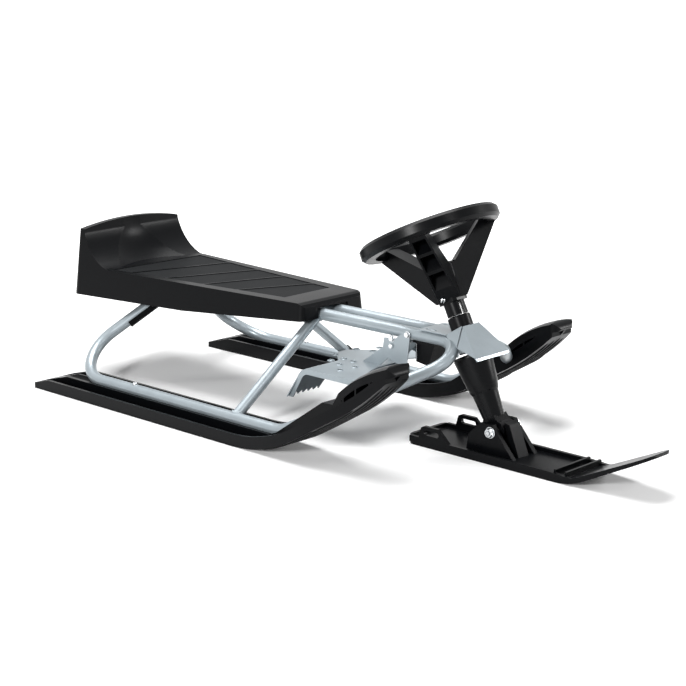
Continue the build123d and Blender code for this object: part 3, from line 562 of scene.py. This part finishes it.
def painted_shade_coat():
    """Painted shade for the brake's underside: a dull blue grey in clouds of 25 mm."""
    material, tree = new_material("painted shade under the brake")
    place = add(tree, "ShaderNodeTexCoord").outputs["Object"]
    cloud = add(tree, "ShaderNodeTexNoise", Vector=place, Scale=1000 / UNDERSIDE_SHADE_CLOUD_MM, Detail=4.0)
    colour = add(tree, "ShaderNodeMix", {"data_type": "RGBA"}, Factor=cloud.outputs[0],
                 A=linear(UNDERSIDE_SHADE_DARK), B=linear(UNDERSIDE_SHADE_LIGHT))
    skin = add(tree, "ShaderNodeBsdfPrincipled", Base_Color=colour.outputs["Result"],
               Metallic=UNDERSIDE_SHADE_METALLIC, Roughness=UNDERSIDE_SHADE_ROUGH)
    add(tree, "ShaderNodeOutputMaterial", Surface=skin.outputs[0])
    return material


def face_values(mesh, what):
    """The centre or the normal of every face of a mesh, one row each."""
    values = np.empty(len(mesh.polygons) * 3)
    mesh.polygons.foreach_get(what, values)
    return values.reshape(-1, 3)


for name in ("brake_bracket_right", "brake_bracket_left"):
    finish_node(name, silver, STEEL_EDGE_MM, "frame")
brake = finish_node("brake", silver, BRAKE_EDGE_MM, "brake")
# The side that faces the ground is drawn in a dark blue grey, as painted shade for the shade it lies in
brake.data.materials.append(painted_shade_coat())
underside = face_values(brake.data, "normal")[:, 2] < FACES_DOWN
brake.data.polygons.foreach_set("material_index", underside.astype(np.int32))
finish_node("brake_pin", zinc, TURNED_EDGE_MM, "frame")

# Each hole is a nearly black disc lying on the solid sheet: painted shade for the dark inside of a punched
# hole
shade = moulded_black("painted shade inside a punched hole", "#121517", PLASTIC_GRAIN_MM, bump=0.1,
                      rough=0.6, shine=0.1)
for side, sign in SIDES:
    for k, (x, y) in enumerate(COLLARS):
        place = (x, sign * y, PEDAL_Z)
        surface(f"grip_collar_{side}_{k}", turned_grid(COLLAR, place, UP, COLLAR_COLUMNS), silver, "brake",
                around=True, ring=True, sharp_deg=SOFT_DEG)
        surface(f"grip_hole_{side}_{k}", turned_grid(SHADE_DISC, place, UP, COLLAR_COLUMNS), shade, "brake",
                around=True, sharp_deg=SOFT_DEG)


# Reel box
# A closed box of black polyethylene hangs under the rails and holds the tow rope's reel.
# A thin strip of bright zinc along its rear edge is a painted highlight, the light line that the edge
# catches.
REEL_EDGE_MM = 1.2
REEL_EDGE_HIGHLIGHT = ((141.6, -18.3, 157.0), (143.2, -18.3, 157.0), (144.2, -18.3, 126.0), (142.6, -18.3, 126.0))
HIGHLIGHT_STRIP_THICK = 1.0
HIGHLIGHT_STRIP_EDGE_MM = 0.3

finish_node("reel_box", plastic, REEL_EDGE_MM, "frame")
# The bright zinc strip is a painted highlight along the box's rear edge
sheet_piece("reel_strip", REEL_EDGE_HIGHLIGHT, HIGHLIGHT_STRIP_THICK, (0, 1, 0), zinc, "frame", HIGHLIGHT_STRIP_EDGE_MM)


# Runner skis
# Each ski is one moulding of black polyethylene with rims, a bed for the tube and a ribbed toe.
# Low ridges run along the underside of each toe, where the sole has left the ground.
MOULDED_EDGE_MM = 1.0
SOLE_FLAT_X = -40.0
SOLE_BEND = 280.0
SOLE_RISE = math.radians(30.0)
SOLE_NOSE = (180.0, 84.0)
NOSE_CURVE = ((180.0, 84.0), (226.0, 116.0), (264.0, 150.0))
RIDGE_X = (18.0, 258.0)
RIDGE_Y = (-36.0, -24.0, -12.0, 0.0, 12.0, 24.0)
# A ridge ends further back the further it is from the middle one. The ski's outer edge draws in
# beyond a certain X, and a ridge also ends where it would reach that edge.
RIDGE_BACK = 0.25
TAPER_X = 110.0
TAPER_Y = 40.0
TAPER_SLOPE = 140 / 23
RIDGE_HALF = 2.2
RIDGE_HIGH = 2.6
RIDGE_ROOT = 0.4
RIDGE_RUN_OUT = 12.0
RIDGE_STEPS = 70
RIDGE_COLUMNS = 9
RIDGE_SHARP_DEG = 50

for name in ("runner_ski_right", "runner_ski_left"):
    finish_node(name, plastic, MOULDED_EDGE_MM, "frame")


def sole_height(x):
    """The sole is flat, then a circle of 280 mm, then straight at 30 degrees, then a parabola to the tip."""
    run = np.clip(x - SOLE_FLAT_X, 0, SOLE_BEND * math.sin(SOLE_RISE))
    bend_end = (SOLE_FLAT_X + SOLE_BEND * math.sin(SOLE_RISE), SOLE_BEND * (1 - math.cos(SOLE_RISE)))
    curved = SOLE_BEND - np.sqrt(SOLE_BEND ** 2 - run ** 2)
    slope = (SOLE_NOSE[1] - bend_end[1]) / (SOLE_NOSE[0] - bend_end[0])
    straight = bend_end[1] + slope * (x - bend_end[0])
    nose = np.polyval(np.polyfit(*np.array(NOSE_CURVE).T, 2), x)
    return np.where(x > SOLE_NOSE[0], nose, np.where(x > bend_end[0], straight, curved))


# A ridge is half a circle in section, drawn out to nothing at its ends, and closed by a lid in the sole
for side, sign in SIDES:
    for k, y in enumerate(RIDGE_Y):
        end = min(RIDGE_X[1] - RIDGE_BACK * abs(y), TAPER_X + (y + TAPER_Y) * TAPER_SLOPE)
        x = np.linspace(RIDGE_X[0], end, RIDGE_STEPS)[:, None]
        across = np.linspace(-1, 1, RIDGE_COLUMNS)[None]
        ends = np.clip(np.minimum(x - x.min(), x.max() - x) / RIDGE_RUN_OUT, 0, 1) ** 0.5
        root = sole_height(x) + RIDGE_ROOT
        low = root - (RIDGE_HIGH + RIDGE_ROOT) * ends * np.sqrt(1 - across ** 2)
        side_y = sign * (RUNNER[0] - y) + RIDGE_HALF * across * np.ones_like(x)
        half = np.stack([x * np.ones_like(across), side_y, low], -1)
        lid = half[:, 1:-1][:, ::-1] * (1, 1, 0)
        lid[..., 2] = root
        surface(f"sole_ridge_{side}_{k}", np.concatenate([half, lid], 1), plastic, "frame",
                around=True, sharp_deg=RIDGE_SHARP_DEG)


# Seat
# A blow-moulded shell of black polyethylene; its edges and webs are smooth and catch the light,
# and the sunk grip panels have a coarse dull grain. Black clamps hold it on the rear legs, and a
# small one holds the left leg's foot.
# The panels are the faces that look up and whose height in metres is in this range
PANEL_Z = (0.1934, 0.1942)
PANEL_LOOKS_UP = 0.9
PANEL_GRAIN_MM = 1.6

# Radii of a clamp's inner and outer wall, and the share of the leg between which it lies
CLAMP_R = (10.3, 13.2)
CLAMP_RUN = (0.17, 0.44)
CLAMP_HALF = math.radians(95)
CLAMP_MIDDLE = (0.31, -0.54, -0.78)
FOOT_CLAMP_R = (LEG_R + 0.2, LEG_R + 2.4)
FOOT_CLAMP_RUN = (0.86, 0.93)
FOOT_CLAMP_HALF = math.radians(110)
FOOT_CLAMP_MIDDLE = (1.0, 0.0, 0.3)
CLAMP_COLUMNS = 29

seat = finish_node("seat", plastic, MOULDED_EDGE_MM, "frame")
grained = moulded_black("coarse grained polyethylene", "#0b0d0f", PANEL_GRAIN_MM, bump=0.7, rough=0.68,
                        shine=0.09)
seat.data.materials.append(grained)
height, faces_up = face_values(seat.data, "center")[:, 2], face_values(seat.data, "normal")[:, 2]
panels = (height > PANEL_Z[0]) & (height < PANEL_Z[1]) & (faces_up > PANEL_LOOKS_UP)
seat.data.polygons.foreach_set("material_index", panels.astype(np.int32))


def clamp(name, leg, shares, radii, middle_dir, half_angle):
    """An open tube along part of a leg: its outer and inner arcs meet in the middle of the wall at each
    end, and shares are how far down the leg it starts and ends."""
    top, low = leg
    start, end = top + (low - top) * shares[0], top + (low - top) * shares[1]
    d = unit(end - start)
    u = unit(np.asarray(middle_dir, float) - np.dot(middle_dir, d) * d)
    v = np.cross(d, u)
    t = np.linspace(-half_angle, half_angle, CLAMP_COLUMNS)
    ring = u * np.cos(t)[:, None] + v * np.sin(t)[:, None]
    inner, outer = radii
    wall = (inner + outer) / 2
    length = np.linalg.norm(end - start)
    rows = []
    for way, near, far in ((0, wall, wall), (0, inner, outer), (length, inner, outer), (length, wall, wall)):
        loop = np.concatenate([ring * far, (ring * near)[::-1]])
        rows.append(start + d * way + loop)
    return surface(name, np.array(rows), plastic, "frame", around=True)


for side, sign in SIDES:
    leg = [np.array(end) * (1, sign, 1) for end in REAR_LEG]
    middle = (CLAMP_MIDDLE[0], CLAMP_MIDDLE[1] * sign, CLAMP_MIDDLE[2])
    clamp(f"rear_leg_clamp_{side}", leg, CLAMP_RUN, CLAMP_R, middle, CLAMP_HALF)
left_leg = [np.array(end) for end in FRONT_LEGS[1]]
clamp("left_leg_foot_clamp", left_leg, FOOT_CLAMP_RUN, FOOT_CLAMP_R, FOOT_CLAMP_MIDDLE, FOOT_CLAMP_HALF)


# Steering wheel and column
# The wheel and its webs are one moulding of black polyethylene on a zinc plated steel shaft.
# A nut on the hub's side clamps it, and a black column covers the shaft below.
HUB_NUT = (199.0, -21.0, 233.7)
HUB_NUT_UP = (-0.35, -1.0, 0.0)
NUT_PROFILE = [(0, 0), (6.2, 0), (6.2, 0.8), (5.9, 1.1), (4.9, 1.1, 1), (4.9, 4.4, 1), (4.5, 5.2, 0.2),
               (3.3, 5.3), (3.1, 4.2), (2.6, 4.2), (2.4, 6.0), (0, 6.2)]

for name in ("steering_wheel", "steering_column"):
    finish_node(name, plastic, MOULDED_EDGE_MM, "steering")
finish_node("steering_shaft", zinc, TURNED_EDGE_MM, "steering")
fastener("hub_nut", NUT_PROFILE, HUB_NUT, unit(HUB_NUT_UP), "steering")


# Sleeve and ski pin
# A softer black moulding covers the shaft's lower end, and it carries the pin that the ski hangs on.
# The pin is zinc plated steel with a nut at each side of the ski's tower.
PIN_PLACE = (304.0, 44.0)
TOWER_FACE = 30.0
PIN_NUT = [(0, 0.2), (9.0, 0.2), (9.0, 1.2), (8.6, 1.5), (6.6, 1.5, 1), (6.6, 5.5, 1), (6.2, 6.4, 0.2),
           (4.6, 6.5), (4.4, 5.2), (3.6, 5.2), (3.2, 7.2), (0, 7.4)]

sleeve_plastic = moulded_black("soft black moulding", "#090a0c", PLASTIC_GRAIN_MM, bump=0.2, rough=0.28,
                               shine=0.11)
finish_node("sleeve", sleeve_plastic, MOULDED_EDGE_MM, "steering")
finish_node("ski_pin", zinc, TURNED_EDGE_MM, "steering")
for side, sign in SIDES:
    place = (PIN_PLACE[0], sign * TOWER_FACE, PIN_PLACE[1])
    fastener(f"pin_nut_{side}", PIN_NUT, place, (0.0, float(sign), 0.0), "steering")


# Front ski
# One moulding of the same black polyethylene as the runner skis, turned up at its front.
# A tower holds the pin, and two slotted ears at the rear take a tow rope.
finish_node("front_ski", plastic, MOULDED_EDGE_MM, "steering")
